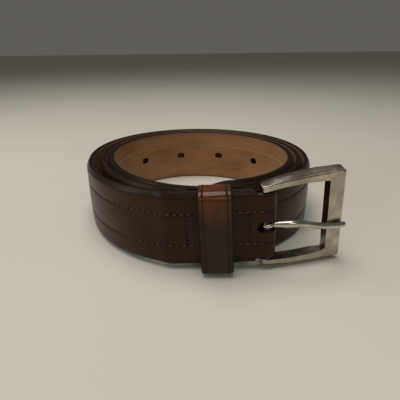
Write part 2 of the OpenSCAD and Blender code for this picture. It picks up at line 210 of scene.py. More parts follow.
class Path:
    """The strap from its tip to the end of the turned-back leather.

    Lengths are measured MEASURE_T out from the lining, and stations are closest at the tip.
    """

    MEASURE_T = 2.3
    TIP_SWEEP, TIP_STATIONS = 25, 120

    def __init__(self):
        tip = TIP_ANGLE + self.TIP_SWEEP * np.linspace(0, 1, self.TIP_STATIONS) ** 2
        rest = np.arange(tip[-1] + COIL_STEP, JOIN_ANGLE, COIL_STEP)
        coil_phi = np.concatenate([tip, rest, [JOIN_ANGLE]])
        parts = [coil_rows(coil_phi)]
        x = np.arange(LINE_STEP, BAR_X, LINE_STEP)
        parts.append(end_rows(x, 0 * x - FRONT_Y, 0 * x, neck_half(x)))
        turn = np.arange(0, 181, TURN_STEP)
        parts.append(end_rows(BAR_X + PATH_R * sind(turn), BAR_Y - PATH_R * cosd(turn),
                              turn, NECK_Z))
        back = np.arange(BAR_X - LINE_STEP, 0.01, -LINE_STEP)
        fall = return_y(back - 0.1) - return_y(back + 0.1)
        slope = np.degrees(np.arctan2(fall, -0.2 + 0 * back))
        return_half = HALF_W - RETURN_INSET
        half = NECK_Z + (return_half - NECK_Z) * smooth((NECK_X - back) / NECK_EASE)
        parts.append(end_rows(back, return_y(back), slope, half))
        phi = np.arange(JOIN_ANGLE, JOIN_ANGLE - RETURN_ANGLE - 0.01, -COIL_STEP)
        origin, out, wide, _ = coil_rows(phi)
        parts.append((origin + (GRAIN_0 - SINK) * out, -out, wide, return_half + 0 * phi))
        self.origin, self.out, self.wide, self.half = map(np.concatenate, zip(*parts))
        middle = self.origin + self.MEASURE_T * self.out
        step = np.linalg.norm(np.diff(middle, axis=0), axis=1)
        self.s = np.concatenate([[0], np.cumsum(np.maximum(step, 1e-6))])
        counts = np.cumsum([len(p[0]) for p in parts])
        self.join = self.s[counts[0] - 1]
        self.bar = self.s[counts[1]]
        self.loop_end = self.s[counts[2] - 1]
        self.end = self.s[-1]
        self.coil_phi_s = (coil_phi, self.s[:counts[0]])

    def at(self, s):
        """Origin, outward and width directions and half width at lengths s."""
        s = np.asarray(s, float)
        def mix(table):
            return np.stack([np.interp(s, self.s, table[:, k]) for k in range(3)], -1)
        half = np.interp(s, self.s, self.half)
        return mix(self.origin), unit(mix(self.out)), unit(mix(self.wide)), half

    def of_angle(self, phi):
        """Length at an angle of the coil."""
        return float(np.interp(phi, *self.coil_phi_s))

    def of_front(self, x):
        """Length at a distance x from the start of the straight end, on the front leather."""
        return self.join + x

    def of_back(self, x):
        """Length at the same distance, on the turned-back leather."""
        k = self.s > self.loop_end
        along = end_turned([1, 0, 0])
        reach = (self.origin - end_point([0, 0, 0])) @ along
        order = np.argsort(reach[k])
        return float(np.interp(x, reach[k][order], self.s[k][order]))

    def place(self, s, w, t):
        """Points at length s, width w and thickness t.

        The tip squeezes the whole width, and the neck only what lies outside SHOULDER_Z.
        """
        origin, out, wide, half = self.at(s)
        tip = np.where(np.asarray(s) < 3 * TIP_LEN, half / HALF_W, 1.0)
        squeeze = (half - SHOULDER_Z) / (HALF_W - SHOULDER_Z)
        edge = SHOULDER_Z + (np.abs(w) - SHOULDER_Z) * squeeze
        neck = np.where((np.abs(w) > SHOULDER_Z) & (tip >= 1), np.sign(w) * edge, w * tip)
        w = np.where(tip < 1, w * tip, neck)
        return origin + t[..., None] * out + w[..., None] * wide


path = Path()
ROW_END = path.of_front(BAR_X + 0.8)
ROW_START = 6.0


def hole_angle(k):
    """Angle of a prong hole. The coil's radius is taken about half a pitch on from the last."""
    if k == 0:
        return FIRST_HOLE
    last = hole_angle(k - 1)
    return last + HOLE_PITCH * 180 / math.pi / float(lining_r(np.array(last + 15.0)))


def off_hole(s, pitch):
    """Distance along a seam from the nearest needle hole."""
    return np.abs((s / pitch + 0.5) % 1 - 0.5) * pitch


PRONG_HOLES = [(path.of_angle(hole_angle(k)), HOLE_L, HOLE_H) for k in range(5)]
slot_from, slot_to = path.of_front(NECK_X), path.of_back(NECK_X)
FOLD_SLOT = ((slot_from + slot_to) / 2, slot_to - slot_from, SLOT_H)


def face_t(s, w):
    """Thickness of the grain leather's face: crown, stitch grooves, needle holes and creases."""
    a = np.abs(w)
    rows = smooth((s - ROW_START) / 2) * smooth((ROW_END - s) / 2)
    padded = smooth((path.bar - s) / 6) + 0.4 * smooth((s - path.loop_end) / 6)
    needle = bump(off_hole(s, STITCH), 0, NEEDLE_L)
    t = GRAIN_1 + CROWN * np.clip(1 - (a / 6.1) ** 2, 0, 1) * padded
    t = t + 0.07 * np.clip(1 - ((a - 9.7) / 2.9) ** 2, 0, 1) * padded
    t = t - GROOVE_D * bump(a, ROW_Z, GROOVE_W) * rows
    t = t - NEEDLE_D * bump(a, ROW_Z, NEEDLE_W) * needle * rows
    t = t - CREASE_D * bump(a, CREASE_Z, CREASE_W) * smooth((s - 3) / 4)
    return t - EDGE_DROP * np.clip((a - CREASE_Z - 0.1) / 1.7, 0, 1) ** 1.15


def lining_t(s, w):
    """Free face of the lining, which the bobbin stitches pull in a little."""
    a = np.abs(w)
    rows = smooth((s - ROW_START) / 2) * smooth((path.join - 6 - s) / 2)
    dent = 0.05 + 0.12 * bump(off_hole(s, STITCH), 0, 0.4)
    rounding = 0.25 * np.clip((a - 14.2) / 0.8, 0, 1) ** 2
    return bump(a, ROW_Z, GROOVE_W) * dent * rows + rounding


# Widths across and lengths along at which the strap's layers have points.
def mirrored(half):
    return [-a for a in reversed(half)] + [0.0] + list(half)


HOLE_BAND = [0.8, 1.6, 2.4, PATCH_W]
FACE_WIDTHS = mirrored(HOLE_BAND + [4.4, 5.4, 5.9, 6.15, 6.32, 6.5, 6.68, 6.85, 7.1, 8.2, 9.8,
                                    11.4, 12.4, 12.68, 12.85, 13.02, 13.3, 13.9, 14.4])
PLAIN_WIDTHS = mirrored(HOLE_BAND + [4.4, 6.5, 9.8, 13.1, 14.6])
LINING_WIDTHS = mirrored(HOLE_BAND + [4.4, 5.6, 6.1, 6.3, 6.5, 6.7, 6.9, 7.4, 9.8, 13.1, 14.2, 14.6])


def grid_lengths(start, end, extra):
    """Lengths every half stitch, and finer ones where the shape turns quickly."""
    step = STITCH / 2
    base = np.arange(math.ceil(start / step + 0.2) * step, end - 0.2 * step, step)
    extra = np.array([e for e in extra if start < e < end])
    if len(extra):
        base = base[np.min(np.abs(base[:, None] - extra[None, :]), axis=1) > 0.3]
    return np.unique(np.concatenate([[start], base, extra, [end]]))


TIP_LENGTHS = [0.12, 0.35, 0.7, 1.2, 1.9, 2.8, 3.7, 4.8]
NECK_LENGTHS = [path.of_front(NECK_X + d) for d in (-0.8, -0.55, -0.35, -0.15, 0.1)]
LOOP_LENGTHS = list(np.linspace(path.bar - 0.6, path.loop_end + 0.6, 21))
HUMP_LENGTHS = [path.of_back(x) for x in
                (28.5, 29.5, 30.5, 31.5, 26.4, 25.9, 25.3, 24.8, 24.2, 6.3, 5.7, 5.1, 4.5, 3.9)]
END_LENGTHS = NECK_LENGTHS + LOOP_LENGTHS + HUMP_LENGTHS


class Mesh:
    """Collects vertices, faces, materials and the strap's own coordinates for one object."""

    def __init__(self):
        self.points, self.marks, self.faces, self.kinds = [], [], [], []
        self.count = 0

    def add(self, points, marks):
        points = np.asarray(points, float).reshape(-1, 3)
        self.points.append(points)
        self.marks.append(np.asarray(marks, float).reshape(-1, 3))
        first = self.count
        self.count += len(points)
        return np.arange(first, self.count)

    def face(self, corners, kind=0):
        self.faces.append([int(c) for c in corners])
        self.kinds.append(kind)

    def rings(self, ids, closed_along=False, kind=0, skip=None):
        """Quads between rings of ids. kind may be one number or one for each column."""
        rows, columns = ids.shape
        for i in range(rows if closed_along else rows - 1):
            a, b = ids[i], ids[(i + 1) % rows]
            for j in range(columns):
                if skip and skip(i, j):
                    continue
                k = (j + 1) % columns
                self.face((a[j], a[k], b[k], b[j]), kind if np.isscalar(kind) else kind[j])

    def capped(self, ids, kind=0, cap_kind=0, skip=None):
        """The same, with both ends closed."""
        self.rings(ids, kind=kind, skip=skip)
        self.face(ids[0][::-1], cap_kind)
        self.face(ids[-1], cap_kind)

    def make(self, name, materials, sharp=50):
        points = np.concatenate(self.points) + ORIGIN
        mesh = bpy.data.meshes.new(name)
        mesh.from_pydata((points * MM).tolist(), [], self.faces)
        mesh.validate()
        mark = mesh.attributes.new("place", "FLOAT_VECTOR", "POINT")
        mark.data.foreach_set("vector", np.concatenate(self.marks).astype(np.float32).ravel())
        for material in materials:
            mesh.materials.append(material)
        mesh.polygons.foreach_set("material_index", self.kinds)
        mesh.polygons.foreach_set("use_smooth", [True] * len(mesh.polygons))
        obj = bpy.data.objects.new(name, mesh)
        scene.collection.objects.link(obj)
        work = bmesh.new()
        work.from_mesh(mesh)
        bmesh.ops.recalc_face_normals(work, faces=work.faces)
        work.to_mesh(mesh)
        work.free()
        mesh.set_sharp_from_angle(angle=math.radians(sharp))
        return obj


def nearest(values, value):
    return int(np.argmin(np.abs(values - value)))


def oval_point(s, w, hole):
    """The point on a hole's edge that a point of the patch around it is drawn to."""
    middle, length, height = hole
    straight = (length - height) / 2
    d = s - middle
    if abs(d) <= straight:
        return s, math.copysign(height / 2, w)
    end = math.copysign(straight, d)
    angle = math.atan2(w, d - end)
    return middle + end + height / 2 * math.cos(angle), height / 2 * math.sin(angle)


def strap_layer(name, lengths, front, back, edge, holes, materials, front_w, back_w):
    """A closed layer of the strap, with its holes.

    front and back give t for (s, w), and edge lists (w, t) from front to back.
    """
    front_w, back_w = np.array(front_w), np.array(back_w)
    loop = [(w, "front") for w in front_w]
    loop += [(w, t) for w, t in edge]
    loop += [(w, "back") for w in back_w[::-1]]
    loop += [(-w, t) for w, t in reversed(edge)]
    n = len(loop)
    widths = np.array([w for w, _ in loop])
    s, w = np.meshgrid(lengths, widths, indexing="ij")
    t = np.empty_like(s)
    for j, (_, kind) in enumerate(loop):
        t[:, j] = front(s[:, j], w[:, j]) if kind == "front" else (
            back(s[:, j], w[:, j]) if kind == "back" else kind)
    mesh = Mesh()
    ids = mesh.add(path.place(s, w, t), np.stack([s, w, t], -1)).reshape(s.shape)
    kinds = []
    for j in range(n):
        ends = (loop[j][1], loop[(j + 1) % n][1])
        kinds.append(0 if ends in (("front", "front"), ("back", "back")) else 1)
        on_band = min(abs(widths[j]), abs(widths[(j + 1) % n])) > CREASE_Z
        if len(materials) > 2 and on_band and "back" not in ends:
            kinds[-1] = 2
    back_start = len(front_w) + len(edge)
    first_front, last_front = nearest(front_w, -PATCH_W), nearest(front_w, PATCH_W)
    first_back = back_start + nearest(back_w[::-1], PATCH_W)
    last_back = back_start + nearest(back_w[::-1], -PATCH_W)
    windows = []
    for hole in holes:
        margin = hole[1] / 2 + PATCH_MARGIN
        i0 = int(np.searchsorted(lengths, hole[0] - margin)) - 1
        i1 = int(np.searchsorted(lengths, hole[0] + margin))
        windows.append((i0, i1, hole))

    def in_window(i, j):
        across = first_front <= j < last_front or first_back <= j < last_back
        return across and any(i0 <= i < i1 for i0, i1, _ in windows)

    mesh.capped(ids, kinds, 1, in_window)
    for i0, i1, hole in windows:
        across = last_front - first_front
        around = [(i, 0) for i in range(i0, i1)] + [(i1, j) for j in range(across)]
        around += [(i, across) for i in range(i1, i0, -1)] + [(i0, j) for j in range(across, 0, -1)]
        rims = []
        for side, depth, surface in ((0, -1, front), (1, 1, back)):
            columns = [first_front + j if side == 0 else last_back - j for _, j in around]
            outer = np.array([ids[i][c] for (i, _), c in zip(around, columns)])
            start = np.array([(lengths[i], front_w[first_front + j]) for i, j in around])
            goal = np.array([oval_point(a, b, hole) for a, b in start])
            rings = [outer]
            for share, sunk in ((0.45, 0), (0.8, 0), (0.97, 0), (1, 0.05), (1, 0.2)):
                a, b = (start + (goal - start) * share).T
                height = surface(a, b) + depth * sunk
                rings.append(mesh.add(path.place(a, b, height), np.stack([a, b, height], -1)))
            mesh.rings(np.array(rings))
            rims.append(rings[-1])
        mesh.rings(np.array(rims), kind=1)
    return mesh.make(name, materials)


def sewn(name, material, centres, normals, sides, radius, flat, marks):
    """A piece of stitches along centres, with cross-sections squeezed by flat."""
    angle = np.arange(0, 360, 45)[:, None]
    ring = cosd(angle) * sides[:, :, None] + flat * sind(angle) * normals[:, :, None]
    points = centres[:, :, None] + radius * RING_R[:, None, None] * ring
    spots = np.broadcast_to(marks[:, :, None], points.shape)
    mesh = Mesh()
    for stitch in mesh.add(points, spots).reshape(points.shape[:3]):
        mesh.capped(stitch)
    return mesh.make(name, [material])


# A stitch has RINGS along it, with shares of the thread's radius for their radii and heights.
CROSS_COUNT, CROSS_INSET = 7, 0.9
CROSS_PITCH = 2 * (ROW_Z - CROSS_INSET) / CROSS_COUNT
RINGS = np.array([0, 0.06, 0.2, 0.4, 0.6, 0.8, 0.94, 1.0])
RING_R = np.array([0.35, 0.75, 0.98, 1.0, 1.0, 0.98, 0.75, 0.35])
RING_LIFT = np.array([-0.8, -0.35, 0.35, 0.62, 0.62, 0.35, -0.35, -0.8])


def row_stitches(name, first, last, w, surface, outwards, radius, material, skew=0.1):
    """A long seam: one raised stitch between each two needle holes."""
    starts = np.arange(math.ceil(first / STITCH), math.floor(last / STITCH)) * STITCH
    s = starts[:, None] + THREAD_END + RINGS * (STITCH - 2 * THREAD_END)
    wide = w + skew * (RINGS - 0.5) * 2 + 0 * s
    base = surface(starts[:, None] + STITCH / 2 + 0 * s, w + 0 * s)
    t = base + outwards * radius * RING_LIFT
    centres = path.place(s, wide, t)
    _, out, side, _ = path.at(s)
    return sewn(name, material, centres, out, side, radius, 0.85, np.stack([s, wide, t], -1))


def cross_stitches(name, s_row, surface, material, knot=False):
    """A short seam across the strap. Its lower end may be sewn over again in a knot."""
    count, radius, pitch, end = CROSS_COUNT, 0.28, CROSS_PITCH, 0.38
    starts = [-ROW_Z + CROSS_INSET + k * pitch for k in range(count)]
    shifts = [0.0] * count
    if knot:
        starts += [starts[0] - 0.5, starts[0] + 0.9, starts[0] + 0.2]
        shifts += [0.45, 0.5, -0.35]
    starts, shifts = np.array(starts)[:, None], np.array(shifts)[:, None]
    w = starts + end + RINGS * (pitch - 2 * end)
    s = s_row + shifts + 0.15 * (RINGS - 0.5) + 0 * w
    t = surface(s, 0 * w + starts + pitch / 2) + radius * (RING_LIFT + 0.5 * np.abs(shifts))
    centres = path.place(s, w, t)
    ahead = unit(path.place(s + 0.1, w, t) - path.place(s - 0.1, w, t))
    _, out, _, _ = path.at(s)
    return sewn(name, material, centres, out, ahead, radius, 0.8, np.stack([w, s, t], -1))


# Materials.
class Nodes:
    """A short way to write a material's nodes."""

    def __init__(self, name, **sockets):
        self.material = bpy.data.materials.new(name)
        self.material.use_nodes = True
        self.tree = self.material.node_tree
        self.tree.nodes.clear()
        self.shader = self.tree.nodes.new("ShaderNodeBsdfPrincipled")
        self.new("ShaderNodeOutputMaterial", {"Surface": self.shader.outputs["BSDF"]})
        for key, value in sockets.items():
            self.shader.inputs[key.replace("_", " ").title().replace("Ior", "IOR")].default_value = value

    def new(self, kind, inputs=(), **settings):
        node = self.tree.nodes.new(kind)
        for key, value in settings.items():
            setattr(node, key, value)
        for key, value in dict(inputs).items():
            if isinstance(value, bpy.types.NodeSocket):
                self.tree.links.new(value, node.inputs[key])
            else:
                node.inputs[key].default_value = value
        return node

    def scaled(self, vector, scale):
        return self.new("ShaderNodeMapping", {"Vector": vector, "Scale": scale}).outputs["Vector"]

    def place(self, s=1, w=1, t=1):
        """The strap's own coordinates: millimetres along, across and through it."""
        spot = self.new("ShaderNodeAttribute", attribute_name="place")
        return self.scaled(spot.outputs["Vector"], (s, w, t))

    def world(self, x=1000, y=1000, z=1000):
        """Object coordinates, in millimetres unless a scale is given."""
        return self.scaled(self.new("ShaderNodeTexCoord").outputs["Object"], (x, y, z))

    def noise(self, vector, scale, detail=4.0, roughness=0.55):
        return self.new("ShaderNodeTexNoise", {"Vector": vector, "Scale": scale, "Detail": detail,
                                               "Roughness": roughness}).outputs["Fac"]

    def cells(self, vector, scale):
        return self.new("ShaderNodeTexVoronoi", {"Vector": vector, "Scale": scale}
                        ).outputs["Distance"]

    def math(self, operation, a, b=0.0, c=0.0, clamp=False):
        return self.new("ShaderNodeMath", {0: a, 1: b, 2: c}, operation=operation,
                        use_clamp=clamp).outputs[0]

    def times(self, a, b):
        return self.math("MULTIPLY", a, b)

    def size(self, a):
        return self.math("ABSOLUTE", a)

    def away(self, a, b):
        """Distance of a from b, two numbers."""
        return self.size(self.math("SUBTRACT", a, b))

    def hypot(self, a, b):
        squares = [self.math("POWER", side, 2.0) for side in (a, b)]
        return self.math("SQRT", self.math("ADD", *squares))

    def vary(self, noise, low, high):
        """From low to high with a noise, most of whose values lie from 0.3 to 0.7."""
        return self.range(noise, 0.3, 0.7, low, high)

    def range(self, value, low, high, to_low=0.0, to_high=1.0):
        return self.new("ShaderNodeMapRange", {"Value": value, "From Min": low, "From Max": high,
                                               "To Min": to_low, "To Max": to_high}
                        ).outputs["Result"]

    def ramp(self, value, stops):
        node = self.new("ShaderNodeValToRGB", {"Fac": value})
        while len(node.color_ramp.elements) < len(stops):
            node.color_ramp.elements.new(0.5)
        for element, (at, colour) in zip(node.color_ramp.elements, stops):
            element.position = at
            element.color = (*colour, 1)
        return node.outputs["Color"]

    def mix(self, factor, a, b):
        """A colour from a to b, each a socket or three numbers."""
        a, b = [(*c, 1) if isinstance(c, tuple) else c for c in (a, b)]
        return self.new("ShaderNodeMix", {0: factor, 6: a, 7: b}, data_type="RGBA").outputs[2]

    def set(self, key, socket):
        self.tree.links.new(socket, self.shader.inputs[key])

    def made(self, colour, roughness, *heights):
        """Ends the material. Bumps are (height, strength, millimetres), one over the other."""
        self.set("Base Color", colour)
        self.set("Roughness", roughness)
        normal = None
        for height, strength, distance in heights:
            inputs = {"Height": height, "Strength": strength, "Distance": distance * MM}
            if normal is not None:
                inputs["Normal"] = normal
            normal = self.new("ShaderNodeBump", inputs).outputs["Normal"]
        self.set("Normal", normal)
        return self.material


def split(nodes, vector):
    return nodes.new("ShaderNodeSeparateXYZ", {"Vector": vector}).outputs


def past_hole(n, along, start, pitch):
    """Signed distance from the nearest needle hole of a seam that has one at -start."""
    phase = n.math("FRACT", n.math("DIVIDE", n.math("ADD", along, start + pitch / 2), pitch))
    return n.times(n.math("SUBTRACT", phase, 0.5), pitch)


def stitch_marks(n, across, along, pitch, row):
    """1 in the needle holes of the two rows, which are longer than wide, and the row's distance."""
    off_row = n.math("SUBTRACT", n.size(across), row)
    reach = n.hypot(off_row, n.times(past_hole(n, along, 0.0, pitch), 0.8))
    return n.range(reach, 0.3, 0.55, 1.0, 0.0), n.size(off_row)


def cross_marks(n, along, across, s_row):
    """1 in the needle holes of one cross row. Whole pitches keep the phase above 0."""
    start = ROW_Z - CROSS_INSET + 4 * CROSS_PITCH
    reach = n.hypot(n.math("SUBTRACT", along, s_row), past_hole(n, across, start, CROSS_PITCH))
    inside = n.range(n.size(across), ROW_Z - 0.5, ROW_Z - 0.2, 1.0, 0.0)
    return n.times(n.range(reach, 0.5, 0.75, 1.0, 0.0), inside)


def grain_leather():
    n = Nodes("grain_leather", coat_weight=0.08, coat_roughness=0.16, ior=1.22)
    spot = n.place()
    axes = split(n, spot)
    marks, off_row = stitch_marks(n, axes[1], axes[0], STITCH, ROW_Z)
    cloud = n.noise(n.place(0.05, 0.09, 0.09), 1.0, 5.0)
    pores = n.cells(spot, 2.6)
    fine = n.noise(spot, 5.5, 3.0)
    colour = n.ramp(cloud, [(0.3, (0.028, 0.0108, 0.0045)), (0.55, (0.039, 0.0155, 0.0062)),
                            (0.8, (0.054, 0.0215, 0.0084))])
    colour = n.mix(n.range(pores, 0.0, 0.35, 0.35, 0.0), colour, (0.012, 0.006, 0.004))
    across = n.size(axes[1])
    worn = n.times(n.range(across, 13.2, 14.9), n.range(fine, 0.35, 0.7))
    colour = n.mix(n.times(worn, 0.45), colour, (0.046, 0.026, 0.016))
    # Painted shade: the crease, the stitch grooves and the needle holes of the long and cross rows are
    # darkened towards near black, as shade falls in these hollows.
    crease = n.range(n.away(across, CREASE_Z), 0.06, 0.26, 0.75, 0.0)
    groove = n.range(off_row, 0.25, 0.5, 0.5, 0.0)
    dark = n.math("MAXIMUM", n.math("MAXIMUM", marks, crease), groove, clamp=True)
    for x in (LEFT_ROW_X, RIGHT_ROW_X):
        holes = cross_marks(n, axes[0], axes[1], path.of_front(x))
        dark = n.math("MAXIMUM", dark, holes, clamp=True)
    # The painted shade of these hollows is mixed into the leather's colour here.
    colour = n.mix(n.times(dark, 0.85), colour, (0.006, 0.0035, 0.0025))
    swell = n.noise(n.place(0.12, 0.2, 0.2), 1.0, 2.0)
    return n.made(colour, n.vary(n.noise(spot, 1.3), 0.26, 0.40), (swell, 0.22, 0.5),
                  (pores, 0.16, 0.05), (fine, 0.14, 0.03), (n.times(marks, -1.0), 0.7, 0.25))


def burnished_band():
    """The glossier strip between the crease and the cut edge."""
    n = Nodes("burnished_band", coat_weight=0.12, coat_roughness=0.28, coat_ior=1.4, ior=1.2)
    spot = n.place(0.4, 1, 1)
    fine = n.noise(spot, 2.5, 4.0)
    colour = n.ramp(fine, [(0.3, (0.016, 0.0080, 0.0045)), (0.6, (0.028, 0.0145, 0.008)),
                           (0.85, (0.048, 0.027, 0.016))])
    return n.made(colour, n.vary(fine, 0.28, 0.42), (fine, 0.15, 0.06),
                  (n.noise(spot, 9.0), 0.1, 0.03))


def edge_paint():
    """Painted cut edge, darker along the joints on both sides of the filler."""
    n = Nodes("edge_paint", ior=1.18)
    spot = n.place()
    through = split(n, spot)[2]
    fine = n.noise(n.place(0.5, 1, 1), 3.0, 4.0)
    joint = n.away(n.away(through, (LINING_T + GRAIN_0) / 2), FILLER_T / 2)
    colour = n.ramp(fine, [(0.3, (0.008, 0.0046, 0.0031)), (0.6, (0.014, 0.0085, 0.006)),
                           (0.85, (0.032, 0.021, 0.015))])
    colour = n.mix(n.range(joint, 0.0, 0.12, 0.7, 0.0), colour, (0.014, 0.009, 0.007))
    return n.made(colour, n.vary(fine, 0.38, 0.56), (fine, 0.3, 0.06),
                  (n.noise(spot, 9.0), 0.2, 0.03))


def lining_leather():
    n = Nodes("lining_leather", coat_weight=0.05, coat_roughness=0.4, sheen_weight=0.03)
    spot = n.place()
    axes = split(n, spot)
    marks, off_row = stitch_marks(n, axes[1], axes[0], STITCH, ROW_Z)
    cloud = n.noise(n.place(0.035, 0.08, 0.08), 1.0, 5.0)
    fine = n.noise(spot, 3.2, 5.0)
    colour = n.ramp(cloud, [(0.3, (0.205, 0.092, 0.031)), (0.5, (0.285, 0.138, 0.052)),
                            (0.75, (0.365, 0.19, 0.08))])
    colour = n.mix(n.range(fine, 0.45, 0.75, 0.0, 0.25), colour, (0.12, 0.062, 0.028))
    # A darker tone: the edges are darker from handling, and the same tone is painted shade along the
    # dented seam rows.
    handled_tone_and_seam_shade = (0.10, 0.055, 0.028)
    colour = n.mix(n.range(n.size(axes[1]), 12.8, 14.8, 0.0, 0.5), colour, handled_tone_and_seam_shade)
    # Painted shade: the needle holes and the dented seam rows are darkened.
    colour = n.mix(n.times(marks, 0.35), colour, (0.07, 0.036, 0.016))
    colour = n.mix(n.range(off_row, 0.15, 0.5, 0.25, 0.0), colour, handled_tone_and_seam_shade)
    swell = n.noise(n.place(0.1, 0.2, 0.2), 1.0, 3.0)
    return n.made(colour, n.vary(fine, 0.44, 0.62), (swell, 0.2, 0.4), (fine, 0.2, 0.05),
                  (n.cells(spot, 3.4), 0.12, 0.04))


def keeper_leather():
    """The keeper's glossier leather, redder and lighter towards its top, which is painted light: a lit
    top over a shaded lower part.
    """
    n = Nodes("keeper_leather", coat_weight=0.58, coat_roughness=0.08, coat_ior=1.45, ior=1.12)
    spot = n.place()
    axes = split(n, spot)
    marks, _ = stitch_marks(n, axes[1], axes[0], KEEPER_PITCH, KEEPER_SEAM_X)
    # Painted light: the colour is mixed by height from the dark low ramp, which stands for the shaded
    # lower part, to the red high ramp, which stands for the lit top.
    height = split(n, n.world())[2]
    cloud = n.noise(n.place(0.10, 0.18, 0.18), 1.0, 5.0)
    low = n.ramp(cloud, [(0.3, (0.021, 0.0085, 0.0038)), (0.7, (0.036, 0.0145, 0.006))])
    high = n.ramp(cloud, [(0.3, (0.06, 0.015, 0.0022)), (0.7, (0.125, 0.034, 0.0045))])
    share = n.range(n.math("ADD", height, n.times(cloud, 5.0)), 24.0, 33.5)
    colour = n.mix(share, low, high)
    # Painted shade: the creases and the needle holes are darkened towards near black.
    crease = n.range(n.away(n.size(axes[1]), KEEPER_CREASE_X), 0.04, 0.2, 0.7, 0.0)
    dark = n.math("MAXIMUM", marks, crease, clamp=True)
    colour = n.mix(n.times(dark, 0.65), colour, (0.008, 0.004, 0.003))
    swell = n.noise(n.place(0.2, 0.25, 0.25), 1.0, 2.0)
    return n.made(colour, n.vary(n.noise(spot, 1.5), 0.22, 0.36), (swell, 0.2, 0.3),
                  (n.cells(spot, 2.8), 0.12, 0.04), (n.noise(spot, 6.0), 0.12, 0.03),
                  (n.times(marks, -1.0), 0.8, 0.25))


def thread(name, dark, light):
    """Waxed thread, with the slanting shade of its twist."""
    n = Nodes(name, ior=1.2)
    spot = n.place()
    axes = split(n, spot)
    twist = n.math("SINE", n.math("ADD", n.times(axes[0], 11.0), n.times(axes[1], 9.0)))
    colour = n.mix(n.vary(n.noise(n.place(0.5, 0.5, 0.5), 1.0), 0.0, 1.0), dark, light)
    colour = n.mix(n.range(twist, -1.0, 0.2, 0.45, 0.0), colour, tuple(c * 0.4 for c in dark))
    return n.made(colour, n.vary(n.noise(spot, 4.0), 0.45, 0.65), (twist, 0.5, 0.06),
                  (n.noise(spot, 12.0), 0.25, 0.03))


def metal(name, dark, light, rough, pitted):
    """Worn plating: a cloudy patina from dark to light, brush marks and dark pits."""
    n = Nodes(name, metallic=1.0)
    patina = n.noise(n.world(160, 160, 160), 1.0, 4.0, 0.5)
    fine = n.noise(n.world(1400, 1400, 1400), 1.0, 4.0)
    brushed = n.noise(n.world(260, 900, 4200), 1.0, 3.0)
    half_light = tuple(0.6 * d + 0.4 * l for d, l in zip(dark, light))
    colour = n.ramp(n.math("ADD", n.times(patina, 0.9), n.times(fine, 0.1)),
                    [(0.38, dark), (0.52, half_light), (0.64, light)])
    pits = n.cells(n.world(520, 520, 520), 1.0)
    colour = n.mix(n.range(pits, 0.05, 0.16, pitted, 0.0), colour, tuple(c * 0.35 for c in dark))
    dull = n.math("ADD", n.times(patina, 0.6), n.times(brushed, 0.4))
    return n.made(colour, n.range(dull, 0.35, 0.65, *rough), (fine, 0.02, 0.006),
                  (brushed, 0.02, 0.004))


def floor_material():
    n = Nodes("floor_cloth", roughness=0.9)
    colour = n.ramp(n.noise(n.world(3, 3, 3), 1.0, 3.0),
                    [(0.3, (0.60, 0.575, 0.515)), (0.7, (0.66, 0.635, 0.575))])
    n.set("Base Color", colour)
    return n.material


# Keeper: a two-ply loop whose ends butt at the back.
def ring_outline():
    """Points (y, z) and normals around the keeper's inner opening, from the butt upwards."""
    bend, soft, half_gap, arc_steps = 0.5, 2.0, 0.15, 9
    top, back, front = KEEPER_HALF_Z, KEEPER_BACK, KEEPER_FRONT
    corners = [(back - bend, top - bend, 0, bend), (front + soft, top - soft, 90, soft),
               (front + soft, soft - top, 180, soft), (back - bend, bend - top, 270, bend)]
    points, normals = [], []

    def straight(start, end, normal, count):
        for k in range(count):
            share = k / count
            points.append([start[i] + (end[i] - start[i]) * share for i in (0, 1)])
            normals.append(normal)

    straight((back, half_gap), (back, top - bend), (1, 0), 12)
    flats = [((back - bend, top), (front + soft, top), (0, 1), 6),
             ((front, top - soft), (front, soft - top), (-1, 0), 26),
             ((front + soft, -top), (back - bend, -top), (0, -1), 6),
             ((back, bend - top), (back, -half_gap), (1, 0), 12)]
    for (y, z, start, radius), flat in zip(corners, flats):
        for k in range(arc_steps):
            angle = start + 90 * k / arc_steps
            normal = (float(cosd(angle)), float(sind(angle)))
            points.append([y + radius * normal[0], z + radius * normal[1]])
            normals.append(normal)
        straight(*flat)
    points.append([back, -half_gap])
    normals.append((1, 0))
    return np.array(points), np.array(normals)


RING_POINTS, RING_NORMALS = ring_outline()
ring_outer = RING_POINTS + 1.2 * RING_NORMALS
RING_S = np.concatenate([[0], np.cumsum(np.linalg.norm(np.diff(ring_outer, axis=0), axis=1))])
KEEPER_COUNT = round(RING_S[-1] / 2.6)
KEEPER_PITCH = RING_S[-1] / KEEPER_COUNT


def ring_at(s):
    """Inner point (y, z) and outward direction (y, z) at length s around the keeper."""
    y, z, ny, nz = [np.interp(s, RING_S, column) for column in (*RING_POINTS.T, *RING_NORMALS.T)]
    size = np.hypot(ny, nz)
    return y, z, ny / size, nz / size


def keeper_place(s, x, t):
    """Points at length s around the keeper, x across it and t out from its inner opening."""
    y, z, ny, nz = ring_at(s)
    return end_point(np.stack([KEEPER_X + x + 0 * y, y + t * ny, z + t * nz], -1))


KEEPER_TOP = KEEPER_T + KEEPER_LINING_T


def keeper_face(s, x):
    """Thickness of the keeper's face, with its seams, needle holes, creases and round edges."""
    a = np.abs(x)
    seam = bump(a, KEEPER_SEAM_X, 0.34)
    t = KEEPER_TOP - 0.10 * seam - 0.09 * bump(a, KEEPER_CREASE_X, 0.16)
    t = t - 0.2 * seam * bump(off_hole(s, KEEPER_PITCH), 0, 0.4)
    return t - 0.28 * np.clip((a - KEEPER_CREASE_X - 0.1) / 0.65, 0, 1) ** 2


